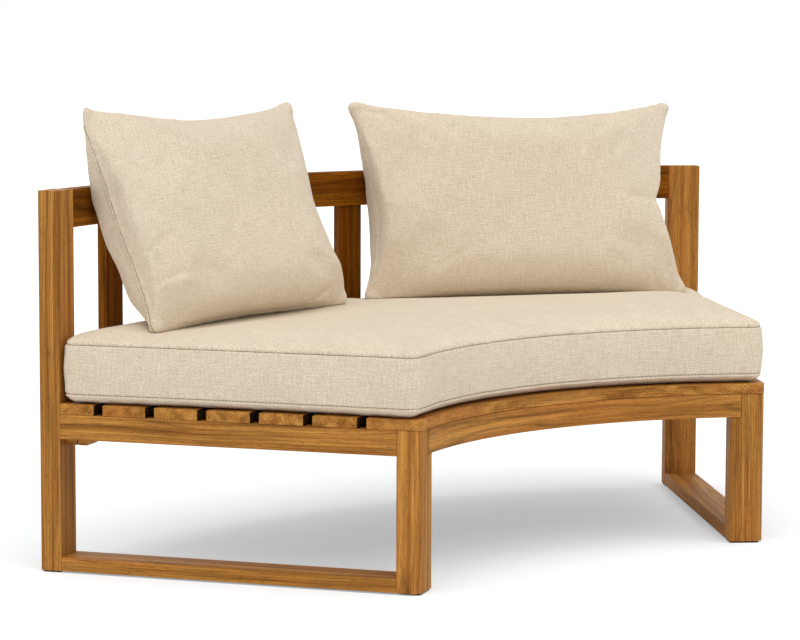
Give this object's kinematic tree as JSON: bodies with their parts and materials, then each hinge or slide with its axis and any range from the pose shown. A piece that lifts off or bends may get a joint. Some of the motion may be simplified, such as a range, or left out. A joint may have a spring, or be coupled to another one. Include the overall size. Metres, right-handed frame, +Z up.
{
  "type": "curved bench",
  "caption": "Sector of a round slatted timber bench with loop end frames, a curved back rail on stiles, an arc-shaped boxed seat cushion and two loose back pillows",
  "frame": {"origin": "on the floor below the middle of the bench's bounding box", "axes": "+X to the right seen from the front, along the bench's chord, +Y to the back, +Z up"},
  "size_m": [1.6646, 0.8448, 0.8441],
  "materials": {
    "teak": "oiled",
    "linen": "woven",
    "black_plastic": "matte",
    "zinc": "plated"
  },
  "bodies": {
    "frame": {"left_front_leg": "teak", "right_front_leg": "teak", "left_back_post": "teak", "right_back_post": "teak", "left_skid": "teak", "right_skid": "teak", "left_end_apron": "teak", "right_end_apron": "teak", "left_front_glide": "black_plastic", "right_front_glide": "black_plastic", "left_back_glide": "black_plastic", "right_back_glide": "black_plastic", "left_front_corner_block": "teak", "right_front_corner_block": "teak", "left_back_corner_block": "teak", "right_back_corner_block": "teak", "left_front_block_apron_screw": "zinc", "right_front_block_apron_screw": "zinc", "left_front_block_frame_screw": "zinc", "right_front_block_frame_screw": "zinc", "left_back_block_apron_screw": "zinc", "right_back_block_apron_screw": "zinc", "left_back_block_frame_screw": "zinc", "right_back_block_frame_screw": "zinc", "front_apron": "teak", "back_apron": "teak", "top_rail": "teak", "back_stile_1": "teak", "back_stile_2": "teak", "back_stile_3": "teak", "back_stile_4": "teak", "back_stile_5": "teak", "back_stile_6": "teak", "back_stile_7": "teak", "left_slat_ledger": "teak", "right_slat_ledger": "teak", "left_seat_bearer": "teak", "right_seat_bearer": "teak", "front_board": "teak", "seat_slat_1": "teak", "seat_slat_2": "teak", "seat_slat_3": "teak", "seat_slat_4": "teak", "seat_slat_5": "teak", "seat_slat_6": "teak"},
    "seat_cushion": {"seat_cushion": "linen"},
    "left_pillow": {"left_pillow": "linen"},
    "right_pillow": {"right_pillow": "linen"}
  },
  "joints": [
    {"name": "seat_cushion_lift", "type": "slide", "parent": "frame", "child": "seat_cushion", "axis": [0, 0, 1], "range_m": [0, 0.4]},
    {"name": "left_pillow_lift", "type": "slide", "parent": "seat_cushion", "child": "left_pillow", "axis": [0, 0, 1], "range_m": [0, 0.3]},
    {"name": "right_pillow_lift", "type": "slide", "parent": "seat_cushion", "child": "right_pillow", "axis": [0, 0, 1], "range_m": [0, 0.3]}
  ]
}
